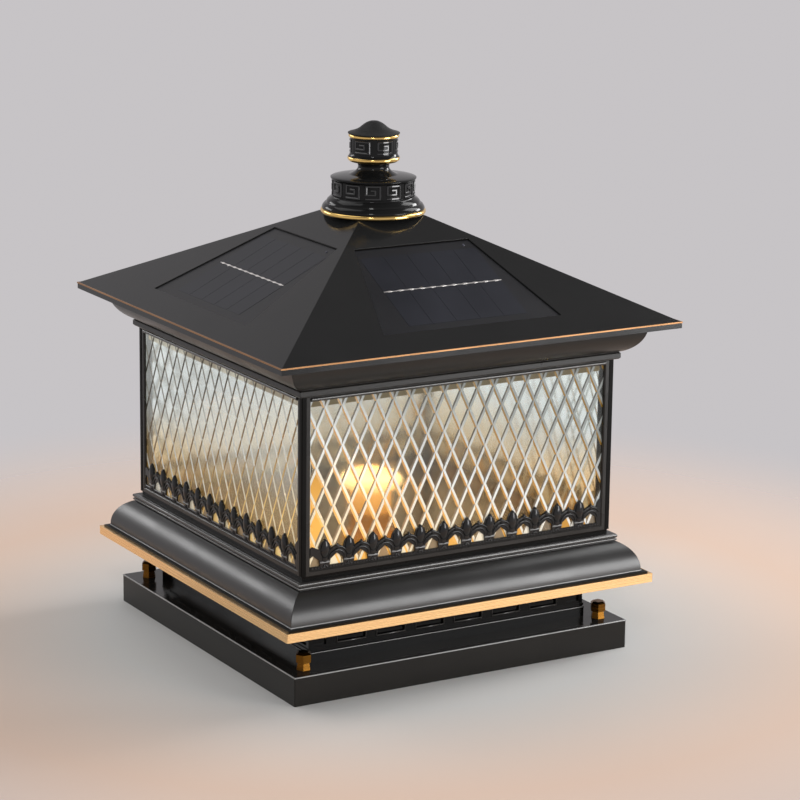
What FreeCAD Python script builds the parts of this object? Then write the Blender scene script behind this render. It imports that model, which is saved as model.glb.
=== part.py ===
"""Square solar post light: base, fretted riser, skirt, glazed cabin, hipped solar roof and turned finial."""
import FreeCAD, Part
import math
import os

os.makedirs("parts", exist_ok=True)
Vec = FreeCAD.Vector
ORIGIN = Vec(0, 0, 0)
UP = Vec(0, 0, 1)

# Driving dimensions in millimetres. The origin is the centre of the underside,
# +Z is up and the front looks to -Y. A half is measured from the axis to a face.

# Glazed cabin, from which the rest steps in or out
body_half = 118.3

# Base plate and its anchor points
base_setback = 12.0
base_height = 19.5
base_wall = 3.0
base_chamfer = 0.7
hand_hole_lip = 18.2
anchor_inset = 14.0
anchor_hole_r = 3.3

# Brass cap nuts on the anchors
nut_flats = 9.6
nut_head_height = 6.6
nut_head_chamfer = 1.5
nut_foot_flats = 8.8
nut_waist_flats = 7.6
nut_foot_height = 4.6
nut_groove_height = 0.6
nut_bore_r = 3.0
nut_roof = 2.4

# Riser with its fret band
riser_setback = 21.8
riser_height = 28.5
riser_wall = 4.0
plinth_height = 6.8
plinth_proud = 0.8
bead_gap = 0.8
riser_bead_height = 1.8
riser_bead_proud = 0.6
fret_margin_low = 1.8
fret_margin_high = 2.0
fret_depth = 1.4
fret_pitch = 29.7
fret_post = 8.0
fret_line = 3.6
fret_end_margin = 3.0

# Skirt plate, its gold edge strips and the ovolo above it
skirt_ledge = 5.7
skirt_thick = 7.0
skirt_hole_lip = 6.2
band_thick = 2.4
band_height = 6.0
mitre_seam = 0.24
ovolo_fillet = 1.0
ovolo_run = 12.4
ovolo_rise = 18.4
ovolo_step = 0.4
moulding_wall = 3.0
bead_quirk = 0.5
bead_proud = 3.2
bead_height = 4.8
bead_chamfer = 0.9
floor_seat = 17.2

# Cabin floor, corner posts, pane frames and glass
floor_setback = 1.1
floor_thick = 2.8
post_nose = 3.4
post_chamfer = 0.5
post_leg = 8.2
post_leg_thick = 2.0
post_height = 118.2
frame_setback = 0.3
frame_thick = 1.7
frame_bar = 3.2
frame_bevel = 0.7
frame_gap = 0.1
frame_top_gap = 0.8
glass_thick = 2.6
glass_lap = 0.7
glass_gap = 0.2
lattice_wide = 12.6
lattice_tall = 26.1
lattice_depth = 0.6
lattice_below_top = 8.2

# Pierced cresting at the foot of each pane
cresting_thick = 1.2
cresting_gap = 0.2
cresting_pitch = 17.72
cresting_first_bud = 10.8
bud_height = 20.2
bud_belly = 3.3
bud_belly_height = 16.8
valley_height = 13.2
valley_reach = 4.4
arch_height = 15.6
window_foot = 2.3
window_half = 5.2
window_shoulder_half = 4.6
window_shoulder_height = 6.2
window_top = 9.6

# Cornice over the cabin
cornice_flange_thick = 3.0
ceiling_seat = 10.0
ceiling_gap = 3.5
ceiling_thick = 2.0

# Roof
eave_overhang = 15.7
fascia_height = 4.0
roof_rise = 61.8
roof_flat_half = 25.0
roof_wall = 5.0
soffit_thick = 3.0
soffit_lip = 3.3
trim_wide = 0.9
trim_proud = 0.3
panel_top_margin = 26.5
panel_foot_margin = 19.0
panel_top_half = 43.5
panel_foot_half = 67.0
pocket_depth = 3.0
panel_thick = 2.2
panel_gap = 0.4

# Finial with its threaded stud
ring_r = 35.5
ring_height = 3.0
foot_r = 34.2
foot_flare_height = 8.7
drum_r = 28.0
drum_height = 11.5
disc_height = 2.4
neck_foot_r = 15.5
neck_waist_r = 10.3
neck_height = 9.2
neck_cove_height = 5.0
crown_ring_foot_r = 12.6
crown_ring_r = 17.6
crown_ring_height = 3.0
crown_drum_r = 16.1
crown_drum_height = 13.0
upper_ring_r = 17.1
upper_ring_height = 3.2
cap_height = 7.9
cap_shoulder_r = 8.6
cap_shoulder_height = 4.0
stud_r = 4.0
stud_gap = 0.15
stud_nut_flats = 13.0
stud_nut_height = 6.5
stud_tail = 2.0

# Lamp on the cabin floor
socket_flats = 28.0
socket_height = 16.0
bulb_r = 21.5
bulb_height = 15.0
wire_hole_r = 5.0

# Electrics under the cabin floor
box_long = 120.0
box_wide = 66.0
box_deep = 25.0
box_wall = 2.0
box_centre_y = 40.0
pack_long = 76.0
pack_wide = 34.0
pack_high = 19.0
pack_chamfer = 1.5
board_long = 86.0
board_wide = 20.0
board_thick = 1.6
board_rest = 4.0
board_rest_from_axis = 28.0
inside_gap = 0.3
switch_y = -40.0
switch_half = 8.0
switch_height = 12.0
switch_well_depth = 9.0
button_half = 5.5
button_gap = 0.1
button_proud = 3.0
button_long = 9.0

# Halves that follow from the sizes above
bead_half = body_half + bead_proud
floor_half = body_half - floor_setback
ovolo_top_half = bead_half + ovolo_step
ovolo_foot_half = ovolo_top_half + ovolo_run
skirt_half = ovolo_foot_half + skirt_ledge
base_half = skirt_half - base_setback
riser_half = base_half - riser_setback
skirt_hole_half = riser_half - riser_wall - skirt_hole_lip
hand_hole_half = riser_half - riser_wall - hand_hole_lip
flange_half = floor_half - floor_seat
roof_half = ovolo_foot_half + eave_overhang
soffit_hole_half = ovolo_foot_half - moulding_wall - soffit_lip
panel_top_from_axis = roof_flat_half + panel_top_margin
panel_foot_from_axis = roof_half - panel_foot_margin
frame_face = body_half - frame_setback
glass_face = frame_face - frame_thick
glass_back = glass_face - glass_thick
post_inside = glass_back - glass_gap - post_leg_thick
ceiling_half = post_inside - ceiling_gap
cornice_flange_half = ceiling_half - ceiling_seat

# Levels that follow from the sizes above
riser_top = base_height + riser_height
skirt_top = riser_top + skirt_thick
ovolo_foot = skirt_top + ovolo_fillet
ovolo_top = ovolo_foot + ovolo_rise
moulding_top = ovolo_top + bead_quirk + bead_height
floor_top = moulding_top + floor_thick
post_top = floor_top + post_height
frame_top = post_top - frame_top_gap
cornice_bead_top = post_top + bead_height
cornice_ovolo_foot = cornice_bead_top + bead_quirk
cornice_ovolo_top = cornice_ovolo_foot + ovolo_rise
eave_level = cornice_ovolo_top
fascia_top = eave_level + fascia_height
roof_top = fascia_top + roof_rise
roof_angle = math.atan2(roof_rise, roof_half - roof_flat_half)
ovolo_r = (ovolo_run ** 2 + ovolo_rise ** 2) / (2.0 * ovolo_run)
frame_outer_half = body_half - post_nose - frame_gap
opening_half = frame_outer_half - frame_bar
glass_half = opening_half + glass_lap
opening_foot = floor_top + frame_bar
ceiling_low = post_top - ceiling_thick
stud_bore_r = stud_r + stud_gap

# A cutting shape runs this far past its work
overrun = 1.0

SIDES = ("front", "right", "rear", "left")
POSTS = ("front_left", "front_right", "rear_right", "rear_left")
CORNERS = ((-1, -1), (1, -1), (1, 1), (-1, 1))


def save(name, shape):
    shape.exportStep("parts/" + name + ".step")


def save_turned(name, places, first_shape):
    """One copy for each place, turned about the axis from the first one in quarter turns."""
    for turn, place in enumerate(places):
        copy = first_shape.copy()
        copy.rotate(ORIGIN, UP, 90.0 * turn)
        save(name + "_" + place, copy)


def block(x0, x1, y0, y1, z0, z1):
    return Part.makeBox(x1 - x0, y1 - y0, z1 - z0, Vec(x0, y0, z0))


def slab(half, z0, z1):
    return block(-half, half, -half, half, z0, z1)


def square_ring(outer_half, inner_half, z0, z1):
    return slab(outer_half, z0, z1).cut(slab(inner_half, z0, z1))


def rod(radius, z0, z1, x=0.0, y=0.0):
    return Part.makeCylinder(radius, z1 - z0, Vec(x, y, z0))


def polygon_face(points):
    return Part.Face(Part.makePolygon(points + points[:1]))


def hexagon(flats, level, x, y):
    corner_r = flats / math.sqrt(3.0)
    points = []
    for index in range(7):
        angle = math.radians(60.0 * index)
        points.append(Vec(x + corner_r * math.cos(angle), y + corner_r * math.sin(angle), level))
    return Part.makePolygon(points)


def hex_frustum(low_flats, high_flats, z0, z1, x=0.0, y=0.0):
    """Six-sided prism, or a tapered one where its two widths differ."""
    low = hexagon(low_flats, z0, x, y)
    if low_flats == high_flats:
        return Part.Face(low).extrude(Vec(0, 0, z1 - z0))
    high = hexagon(high_flats, z1, x, y)
    sides = [polygon_face([a.Point, b.Point, c.Point, d.Point]) for a, b, c, d in zip(
        low.Vertexes, low.Vertexes[1:] + low.Vertexes[:1], high.Vertexes[1:] + high.Vertexes[:1], high.Vertexes)]
    return Part.Solid(Part.Shell(sides + [Part.Face(low), Part.Face(high)]))


def frustum(low_half, high_half, z0, z1):
    """Square frustum on the axis, with plane faces."""
    wedge = Part.makeWedge(-low_half, 0.0, -low_half, -high_half, -high_half,
                           low_half, z1 - z0, low_half, high_half, high_half)
    wedge.rotate(ORIGIN, Vec(1, 0, 0), 90.0)
    wedge.translate(Vec(0, 0, z0))
    return wedge


def at(w, z):
    """A point of a front section: w out from the axis, z up."""
    return Vec(0, -w, z)


def line(a, b):
    return Part.LineSegment(a, b).toShape()


def ovolo_arc(foot_level, upwards, wall):
    """The ovolo's face, upright at its foot, or the inside of its wall."""
    centre_half = ovolo_foot_half - ovolo_r
    radius = ovolo_r - wall
    end_angle = math.acos((ovolo_top_half - centre_half) / radius)
    points = []
    for angle in (0.0, end_angle / 2.0, end_angle):
        points.append(at(centre_half + radius * math.cos(angle), foot_level + upwards * radius * math.sin(angle)))
    return Part.Arc(*points).toShape(), points[-1]


def mitred_length(section_edges, reach):
    """Front length of a moulding, cut to a mitre at both ends with half a seam each."""
    face = Part.Face(Part.Wire(Part.__sortEdges__(section_edges)))
    face.translate(Vec(-reach, 0, 0))
    length = face.extrude(Vec(2.0 * reach, 0, 0))
    box = length.BoundBox
    inset = mitre_seam / math.sqrt(2.0)
    far = reach + overrun
    low = box.ZMin - overrun
    wedge = polygon_face([
        Vec(0, -inset, low),
        Vec(-far + inset, -far, low),
        Vec(far - inset, -far, low),
    ]).extrude(Vec(0, 0, box.ZLength + 2.0 * overrun))
    return length.common(wedge)


# Base plate

anchor_from_axis = base_half - anchor_inset


def make_base_plate():
    plate = slab(base_half, 0.0, base_height)
    outer_edges = [edge for edge in plate.Edges if edge.BoundBox.ZMax > base_wall]
    plate = plate.makeChamfer(base_chamfer, outer_edges)
    plate = plate.cut(slab(base_half - base_wall, 0.0, base_height - base_wall))
    plate = plate.cut(slab(hand_hole_half, 0.0, base_height))
    holes = [
        rod(anchor_hole_r, 0.0, base_height, sx * anchor_from_axis, sy * anchor_from_axis)
        for sx, sy in CORNERS
    ]
    return plate.cut(holes)


def make_cap_nut(x, y):
    """Six-sided nut: chamfered head over a groove and a tapered foot, blind bored from below."""
    groove_level = base_height + nut_foot_height
    head_level = groove_level + nut_groove_height
    head_top = head_level + nut_head_height
    crown_level = head_top - nut_head_chamfer
    crown_flats = nut_flats - 2.0 * nut_head_chamfer
    foot = hex_frustum(nut_foot_flats, nut_waist_flats, base_height, groove_level, x, y)
    groove = hex_frustum(nut_waist_flats, nut_waist_flats, groove_level, head_level, x, y)
    head = hex_frustum(nut_flats, nut_flats, head_level, crown_level, x, y)
    crown = hex_frustum(nut_flats, crown_flats, crown_level, head_top, x, y)
    nut = foot.fuse([groove, head, crown]).removeSplitter()
    return nut.cut(rod(nut_bore_r, base_height, head_top - nut_roof, x, y))


# Riser with rows of sunk fret panels

plinth_top = base_height + plinth_height
riser_bead_low = plinth_top + bead_gap
riser_bead_top = riser_bead_low + riser_bead_height
fret_low = riser_bead_top + fret_margin_low
fret_high = riser_top - fret_margin_high


def fret_cutters():
    """Front row of sunk panels."""
    cutters = []
    row_half = riser_half - fret_end_margin
    fret_panels = 2 * math.ceil(row_half / fret_pitch)
    for index in range(fret_panels):
        centre = (index - (fret_panels - 1) / 2.0) * fret_pitch
        x0 = max(centre - (fret_pitch - fret_post) / 2.0, -row_half)
        x1 = min(centre + (fret_pitch - fret_post) / 2.0, row_half)
        if x1 - x0 < fret_line:
            continue
        front = -riser_half - overrun
        back = -riser_half + fret_depth
        cutters.append(block(x0, x1, front, back, fret_low, fret_high))
    return cutters


def make_riser():
    inner = riser_half - riser_wall
    collar = square_ring(riser_half, inner, base_height, riser_top)
    plinth = square_ring(riser_half + plinth_proud, inner, base_height, plinth_top)
    bead = square_ring(riser_half + riser_bead_proud, inner, riser_bead_low, riser_bead_top)
    riser = collar.fuse([plinth, bead]).removeSplitter()
    cutters = []
    for turn in range(len(SIDES)):
        for cutter in fret_cutters():
            cutter.rotate(ORIGIN, UP, 90.0 * turn)
            cutters.append(cutter)
    return riser.cut(cutters)


# Skirt plate, gold edge strips and ovolo

def make_skirt_plate():
    return square_ring(skirt_half - band_thick, skirt_hole_half, riser_top, skirt_top)


def make_skirt_band():
    inner = skirt_half - band_thick
    low = riser_top
    high = riser_top + band_height
    corners = [at(inner, low), at(skirt_half, low), at(skirt_half, high), at(inner, high)]
    edges = [line(a, b) for a, b in zip(corners, corners[1:] + corners[:1])]
    return mitred_length(edges, skirt_half)


def bead_points(low):
    """The chamfered bead, from its lower root to its upper root."""
    high = low + bead_height
    root = bead_half - bead_chamfer
    return [at(root, low), at(bead_half, low + bead_chamfer), at(bead_half, high - bead_chamfer), at(root, high)]


def polyline(points):
    return [line(a, b) for a, b in zip(points, points[1:])]


def make_skirt_moulding():
    """Hollow ovolo with a bead on top and a flange that carries the floor."""
    inner_foot = ovolo_foot_half - moulding_wall
    flange_under = moulding_top - moulding_wall
    inside_half = bead_half - bead_chamfer - moulding_wall
    bead = bead_points(ovolo_top + bead_quirk)
    outside, outside_end = ovolo_arc(ovolo_foot, 1.0, 0.0)
    inside, inside_end = ovolo_arc(ovolo_foot, 1.0, moulding_wall)
    edges = [outside, inside]
    edges += polyline([at(ovolo_foot_half, ovolo_foot), at(ovolo_foot_half, skirt_top),
                       at(inner_foot, skirt_top), at(inner_foot, ovolo_foot)])
    edges += polyline([outside_end, at(bead_half - bead_chamfer, ovolo_top)] + bead
                      + [at(flange_half, moulding_top), at(flange_half, flange_under),
                         at(inside_half, flange_under), at(inside_half, inside_end.z), inside_end])
    return mitred_length(edges, ovolo_foot_half)


# Cabin floor, posts, frames and glass

def make_floor_plate():
    return slab(floor_half, moulding_top, floor_top).cut(rod(wire_hole_r, moulding_top, floor_top))


def make_corner_post():
    """Extruded corner of the front left: outer nose, rebates for the frames and two legs behind the glass."""
    outer = body_half
    shoulder = body_half - post_nose
    block_in = glass_half + frame_gap
    rebate = glass_face - glass_gap
    leg_out = glass_back - glass_gap
    leg_in = post_inside
    leg_end = body_half - post_leg
    half_section = [
        (outer, outer - post_chamfer),
        (outer, shoulder),
        (rebate, shoulder),
        (rebate, block_in),
        (leg_out, block_in),
        (leg_out, leg_end),
        (leg_in, leg_end),
    ]
    points = [Vec(-a, -b, floor_top) for a, b in half_section]
    points.append(Vec(-leg_in, -leg_in, floor_top))
    points += [Vec(-b, -a, floor_top) for a, b in reversed(half_section)]
    return polygon_face(points).extrude(Vec(0, 0, post_height))


def make_pane_frame():
    """Bezel of four bars with a bevelled sight edge."""
    bezel = block(-frame_outer_half, frame_outer_half, -frame_face, -glass_face, floor_top, frame_top)
    sight = Part.makePolygon([
        Vec(-opening_half, -frame_face, opening_foot), Vec(opening_half, -frame_face, opening_foot),
        Vec(opening_half, -frame_face, frame_top - frame_bar), Vec(-opening_half, -frame_face, frame_top - frame_bar),
        Vec(-opening_half, -frame_face, opening_foot)])
    front_half = opening_half + frame_bevel
    front_sight = Part.makePolygon([
        Vec(-front_half, -frame_face, opening_foot - frame_bevel),
        Vec(front_half, -frame_face, opening_foot - frame_bevel),
        Vec(front_half, -frame_face, frame_top - frame_bar + frame_bevel),
        Vec(-front_half, -frame_face, frame_top - frame_bar + frame_bevel),
        Vec(-front_half, -frame_face, opening_foot - frame_bevel)])
    hole = Part.Face(sight).extrude(Vec(0, frame_thick, 0))
    inner_sight = sight.copy()
    inner_sight.translate(Vec(0, frame_bevel, 0))
    bevel = Part.makeLoft([front_sight, inner_sight], True, True)
    return bezel.cut(hole).cut(bevel)


lattice_angle = math.atan2(lattice_wide, lattice_tall)
lattice_step = lattice_wide * math.cos(lattice_angle)
lattice_level = frame_top - lattice_below_top


def lattice_comb(lean):
    """A thick sheet whose front is ridged in parallel lines that lean to the right or left."""
    across = Vec(math.cos(lattice_angle), 0, -lean * math.sin(lattice_angle))
    along = Vec(lean * math.sin(lattice_angle), 0, math.cos(lattice_angle))
    reach = 2.0 * (glass_half + post_height)
    start = Vec(0, -glass_face, lattice_level) - along * (reach / 2.0)
    count = math.ceil((glass_half + post_height) / lattice_step)
    points = []
    for index in range(-2 * count, 2 * count + 1):
        sunk = lattice_depth if index % 2 == 0 else 0.0
        points.append(start + across * (index * lattice_step / 2.0) + Vec(0, sunk, 0))
    back = Vec(0, glass_thick + overrun, 0)
    end = across * (count * lattice_step)
    points += [start + end + back, start - end + back]
    return polygon_face(points).extrude(along * reach)


def make_glass_pane():
    """Pressed glass: a diamond lattice of shallow facets on the outer face, a plain back."""
    pane = block(-glass_half, glass_half, -glass_face, -glass_back, floor_top, frame_top)
    return pane.common(lattice_comb(1.0)).common(lattice_comb(-1.0))


# Cresting of buds and arched windows

def cresting_outline(bud_x, y, foot):
    """One period of the strip, from arch to arch, with a bud in the middle."""
    half = cresting_pitch / 2.0
    rising = [(-half, arch_height), (-valley_reach, valley_height), (-bud_belly, bud_belly_height)]
    top = rising + [(0.0, bud_height)] + [(-x, z) for x, z in reversed(rising)]
    outline = [(-half, 0.0)] + top + [(half, 0.0)]
    return polygon_face([Vec(bud_x + x, y, foot + z) for x, z in outline])


def window_face(x, y, foot):
    """Pointed opening under an arch."""
    rising = [(-window_half, window_foot), (-window_shoulder_half, window_shoulder_height)]
    outline = rising + [(0.0, window_top)] + [(-across, z) for across, z in reversed(rising)]
    return polygon_face([Vec(x + across, y, foot + z) for across, z in outline])


def make_cresting():
    """Strip cut to length from a longer one."""
    back = -glass_face - cresting_gap
    front = back - cresting_thick
    through = Vec(0, cresting_thick, 0)
    first_bud = -opening_half + cresting_first_bud
    count = math.ceil((2.0 * opening_half - cresting_first_bud) / cresting_pitch) + 1
    periods = []
    openings = []
    for index in range(-1, count):
        bud_x = first_bud + index * cresting_pitch
        periods.append(cresting_outline(bud_x, front, opening_foot).extrude(through))
        openings.append(window_face(bud_x - cresting_pitch / 2.0, front, opening_foot).extrude(through))
    strip = periods[0].fuse(periods[1:]).removeSplitter().cut(openings)
    keep_half = opening_half - cresting_gap
    return strip.common(block(-keep_half, keep_half, front, back, opening_foot, frame_top))


# Cornice and ceiling

def make_cornice():
    """Head bead under an inverted ovolo, with an inner flange that the ceiling plate pulls on."""
    inner_foot = ovolo_foot_half - moulding_wall
    flange_top = post_top + cornice_flange_thick
    inside_half = bead_half - bead_chamfer - moulding_wall
    bead = bead_points(post_top)
    outside, outside_end = ovolo_arc(cornice_ovolo_top, -1.0, 0.0)
    inside, inside_end = ovolo_arc(cornice_ovolo_top, -1.0, moulding_wall)
    edges = [outside, inside, line(at(inner_foot, cornice_ovolo_top), at(ovolo_foot_half, cornice_ovolo_top))]
    edges += polyline(
        [inside_end, at(inside_half, inside_end.z), at(inside_half, flange_top),
         at(cornice_flange_half, flange_top), at(cornice_flange_half, post_top)] + bead
        + [at(bead_half - bead_chamfer, cornice_ovolo_foot), outside_end])
    return mitred_length(edges, ovolo_foot_half)


def make_ceiling_plate():
    """Strongback under the cornice flange, which the finial's stud pulls up."""
    return slab(ceiling_half, ceiling_low, post_top).cut(rod(stud_bore_r, ceiling_low, post_top))


# Roof, eave trim and solar panels

roof_drop = roof_wall / math.cos(roof_angle)
roof_slope = math.tan(roof_angle)


def roof_slab(depth0, depth1):
    """Front slope of the roof between two depths under its face."""
    out = Vec(0, -math.sin(roof_angle), math.cos(roof_angle))
    corners = [
        Vec(-roof_half, -roof_half, fascia_top), Vec(roof_half, -roof_half, fascia_top),
        Vec(roof_half, -roof_flat_half, roof_top), Vec(-roof_half, -roof_flat_half, roof_top)]
    face = polygon_face([corner - out * depth1 for corner in corners])
    return face.extrude(out * (depth1 - depth0))


def panel_plan(gap):
    """Upright prism on the panel's plan outline, shrunk by a gap all round."""
    top_w = panel_top_from_axis + gap
    foot_w = panel_foot_from_axis - gap
    flare = (panel_foot_half - panel_top_half) / (panel_foot_from_axis - panel_top_from_axis)
    side_gap = gap * math.hypot(1.0, flare)
    top_half = panel_top_half + flare * gap - side_gap
    foot_half = panel_foot_half - flare * gap - side_gap
    plan = polygon_face([
        Vec(-foot_half, -foot_w, eave_level), Vec(foot_half, -foot_w, eave_level),
        Vec(top_half, -top_w, eave_level), Vec(-top_half, -top_w, eave_level)])
    return plan.extrude(Vec(0, 0, roof_top - eave_level))


def make_roof_shell():
    """Hipped shell with fascia and soffit, a panel pocket in each slope and a rebate for the eave trim."""
    outside = slab(roof_half, eave_level, fascia_top).fuse(
        frustum(roof_half, roof_flat_half, fascia_top, roof_top)).removeSplitter()
    soffit_top = eave_level + soffit_thick
    cavity_top = roof_top - roof_wall
    inner_low = roof_half - (soffit_top - fascia_top + roof_drop) / roof_slope
    inner_high = roof_half - (cavity_top - fascia_top + roof_drop) / roof_slope
    shell = outside.cut(frustum(inner_low, inner_high, soffit_top, cavity_top))
    shell = shell.cut(slab(soffit_hole_half, eave_level, soffit_top))
    shell = shell.cut(rod(stud_bore_r, cavity_top, roof_top))
    shell = shell.cut(square_ring(roof_half, roof_half + trim_proud - trim_wide,
                                  fascia_top - trim_wide / 2.0, fascia_top + trim_wide / 2.0))
    pockets = []
    for turn in range(len(SIDES)):
        pocket = panel_plan(0.0).common(roof_slab(-overrun, pocket_depth))
        pocket.rotate(ORIGIN, UP, 90.0 * turn)
        pockets.append(pocket)
    return shell.cut(pockets)


def make_eave_trim():
    return square_ring(roof_half + trim_proud, roof_half + trim_proud - trim_wide,
                       fascia_top - trim_wide / 2.0, fascia_top + trim_wide / 2.0)


def make_solar_panel():
    return panel_plan(panel_gap).common(roof_slab(pocket_depth - panel_thick, pocket_depth))


# Finial, turned with straight facets in its section

base_ring_top = roof_top + ring_height
flare_top = base_ring_top + foot_flare_height
drum_top = flare_top + drum_height
disc_top = drum_top + disc_height
neck_top = disc_top + neck_height
crown_ring_top = neck_top + crown_ring_height
crown_drum_top = crown_ring_top + crown_drum_height
upper_ring_top = crown_drum_top + upper_ring_height
finial_top = upper_ring_top + cap_height
stud_low = ceiling_low - stud_nut_height - stud_tail


def turned(section):
    """Solid of revolution from a closed run of (radius, level) points."""
    face = polygon_face([Vec(r, 0, z) for r, z in section])
    return face.revolve(ORIGIN, UP, 360.0)


def make_finial_base_ring():
    return rod(ring_r, roof_top, base_ring_top).cut(rod(stud_bore_r, roof_top, base_ring_top))


def make_finial():
    """Casting on its stud: bell foot, drum, neck, crown between two rings and an ogee cap."""
    waist_level = disc_top + neck_cove_height
    section = [(0.0, stud_low), (stud_r, stud_low), (stud_r, base_ring_top)]
    section += [(foot_r, base_ring_top), (drum_r, base_ring_top + foot_flare_height), (drum_r, disc_top)]
    section += [(neck_foot_r, disc_top), (neck_waist_r, waist_level)]
    section += [(crown_ring_foot_r, neck_top), (crown_ring_r, crown_ring_top)]
    section += [(crown_drum_r, crown_ring_top), (crown_drum_r, crown_drum_top)]
    section += [(upper_ring_r, crown_drum_top), (upper_ring_r, upper_ring_top)]
    section += [(cap_shoulder_r, upper_ring_top + cap_shoulder_height), (0.0, finial_top)]
    return turned(section)


def make_stud_nut():
    nut = hex_frustum(stud_nut_flats, stud_nut_flats, ceiling_low - stud_nut_height, ceiling_low)
    return nut.cut(rod(stud_bore_r, ceiling_low - stud_nut_height, ceiling_low))


# Lamp

socket_top = floor_top + socket_height


def make_lamp_socket():
    return hex_frustum(socket_flats, socket_flats, floor_top, socket_top)


def make_bulb():
    """Sealed lamp with a wide round diffuser."""
    return rod(bulb_r, socket_top, socket_top + bulb_height)


# Electrics under the floor

box_low = moulding_top - box_deep
box_inner_low = box_low + box_wall
box_front = box_centre_y - box_wide / 2.0
box_back = box_centre_y + box_wide / 2.0
board_back = box_back - box_wall - inside_gap
board_front = board_back - board_wide


def make_battery_box():
    """Tray closed by the cabin floor, with two rests for the board."""
    x = box_long / 2.0
    tray = block(-x, x, box_front, box_back, box_low, moulding_top)
    tray = tray.cut(block(-x + box_wall, x - box_wall, box_front + box_wall, box_back - box_wall,
                          box_inner_low, moulding_top))
    rests = []
    for centre in (-board_rest_from_axis, board_rest_from_axis):
        rests.append(block(centre - board_rest / 2.0, centre + board_rest / 2.0, board_front, box_back - box_wall,
                           box_inner_low, box_inner_low + board_rest))
    return tray.fuse(rests).removeSplitter()


def make_battery_pack():
    """Shrink-wrapped block of cells on the tray's floor."""
    y0 = box_front + box_wall + inside_gap
    pack = block(-pack_long / 2.0, pack_long / 2.0, y0, y0 + pack_wide, box_inner_low, box_inner_low + pack_high)
    return pack.makeChamfer(pack_chamfer, [edge for edge in pack.Edges if edge.Length == pack_long])


def make_controller_board():
    low = box_inner_low + board_rest
    return block(-board_long / 2.0, board_long / 2.0, board_front, board_back, low, low + board_thick)


switch_low = moulding_top - switch_height


def make_switch_body():
    body = block(-switch_half, switch_half, switch_y - switch_half, switch_y + switch_half, switch_low, moulding_top)
    well = button_half + button_gap
    return body.cut(block(-well, well, switch_y - well, switch_y + well, switch_low, switch_low + switch_well_depth))


def make_power_button():
    low = switch_low - button_proud
    return block(-button_half, button_half, switch_y - button_half, switch_y + button_half, low, low + button_long)


# Writing the pieces

save("base_plate", make_base_plate())
save("anchor_cap_nuts", Part.makeCompound(
    [make_cap_nut(sx * anchor_from_axis, sy * anchor_from_axis) for sx, sy in CORNERS]))
save("riser", make_riser())
save("skirt_plate", make_skirt_plate())
save_turned("skirt_band", SIDES, make_skirt_band())
save_turned("skirt_moulding", SIDES, make_skirt_moulding())
save("floor_plate", make_floor_plate())
save_turned("corner_post", POSTS, make_corner_post())
save_turned("pane_frame", SIDES, make_pane_frame())
save_turned("glass_pane", SIDES, make_glass_pane())
save_turned("cresting", SIDES, make_cresting())
save_turned("cornice", SIDES, make_cornice())
save("ceiling_plate", make_ceiling_plate())
save("roof_shell", make_roof_shell())
save("eave_trim", make_eave_trim())
save_turned("solar_panel", SIDES, make_solar_panel())
save("finial_base_ring", make_finial_base_ring())
save("finial", make_finial())
save("stud_nut", make_stud_nut())
save("lamp_socket", make_lamp_socket())
save("bulb", make_bulb())
save("battery_box", make_battery_box())
save("battery_pack", make_battery_pack())
save("controller_board", make_controller_board())
save("switch_body", make_switch_body())
save("power_button", make_power_button())
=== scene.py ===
import bpy
import bmesh
import math
from mathutils import Matrix, Vector


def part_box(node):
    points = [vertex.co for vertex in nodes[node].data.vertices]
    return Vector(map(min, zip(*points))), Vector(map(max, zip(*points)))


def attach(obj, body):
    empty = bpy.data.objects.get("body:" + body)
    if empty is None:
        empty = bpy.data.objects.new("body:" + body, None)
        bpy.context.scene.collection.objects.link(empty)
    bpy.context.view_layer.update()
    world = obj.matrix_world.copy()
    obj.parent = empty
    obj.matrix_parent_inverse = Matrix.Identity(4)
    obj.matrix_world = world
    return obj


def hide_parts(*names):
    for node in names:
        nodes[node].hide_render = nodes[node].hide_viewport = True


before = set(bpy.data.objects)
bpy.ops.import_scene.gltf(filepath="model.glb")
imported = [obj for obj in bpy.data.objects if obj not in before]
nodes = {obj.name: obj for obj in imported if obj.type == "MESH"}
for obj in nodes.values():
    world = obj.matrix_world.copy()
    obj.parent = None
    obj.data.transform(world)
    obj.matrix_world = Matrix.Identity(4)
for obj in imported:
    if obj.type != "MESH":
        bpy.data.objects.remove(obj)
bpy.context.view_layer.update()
scene = bpy.context.scene
scene.view_settings.view_transform = "Standard"
body = "lantern"
sides = ["front", "right", "rear", "left"]
mm = 0.001
print("frame loaded:", len(nodes), "nodes")


# small helpers for meshes

rodSides = 12
weldGap = 1e-6


def keepPiece(bm, name, material, smooth=False):
    # with smooth as None, each face keeps its own shading
    mesh = bpy.data.meshes.new(name)
    bm.to_mesh(mesh)
    bm.free()
    mesh.materials.append(material)
    if smooth is not None:
        for face in mesh.polygons:
            face.use_smooth = smooth
    piece = bpy.data.objects.new(name, mesh)
    scene.collection.objects.link(piece)
    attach(piece, body)
    return piece


def softShade(piece, angleDeg):
    # edges sharper than the angle stay sharp
    piece.data.set_sharp_from_angle(angle=math.radians(angleDeg))


def bevelEdges(bm, edges, width, clamp=False):
    bmesh.ops.bevel(bm, geom=edges, offset=width, offset_type="OFFSET", affect="EDGES", segments=1,
                    profile=0.5, clamp_overlap=clamp, material=-1)


def addBox(bm, place, size, bevelWidth=0.0):
    # a box of a size at a matrix, bevelled where a width is given
    made = bmesh.ops.create_cube(bm, size=1.0, matrix=place @ Matrix.Diagonal((*size, 1.0)))
    if bevelWidth > 0.0:
        edges = list({edge for vert in made["verts"] for edge in vert.link_edges})
        bevelEdges(bm, edges, bevelWidth)


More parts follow.
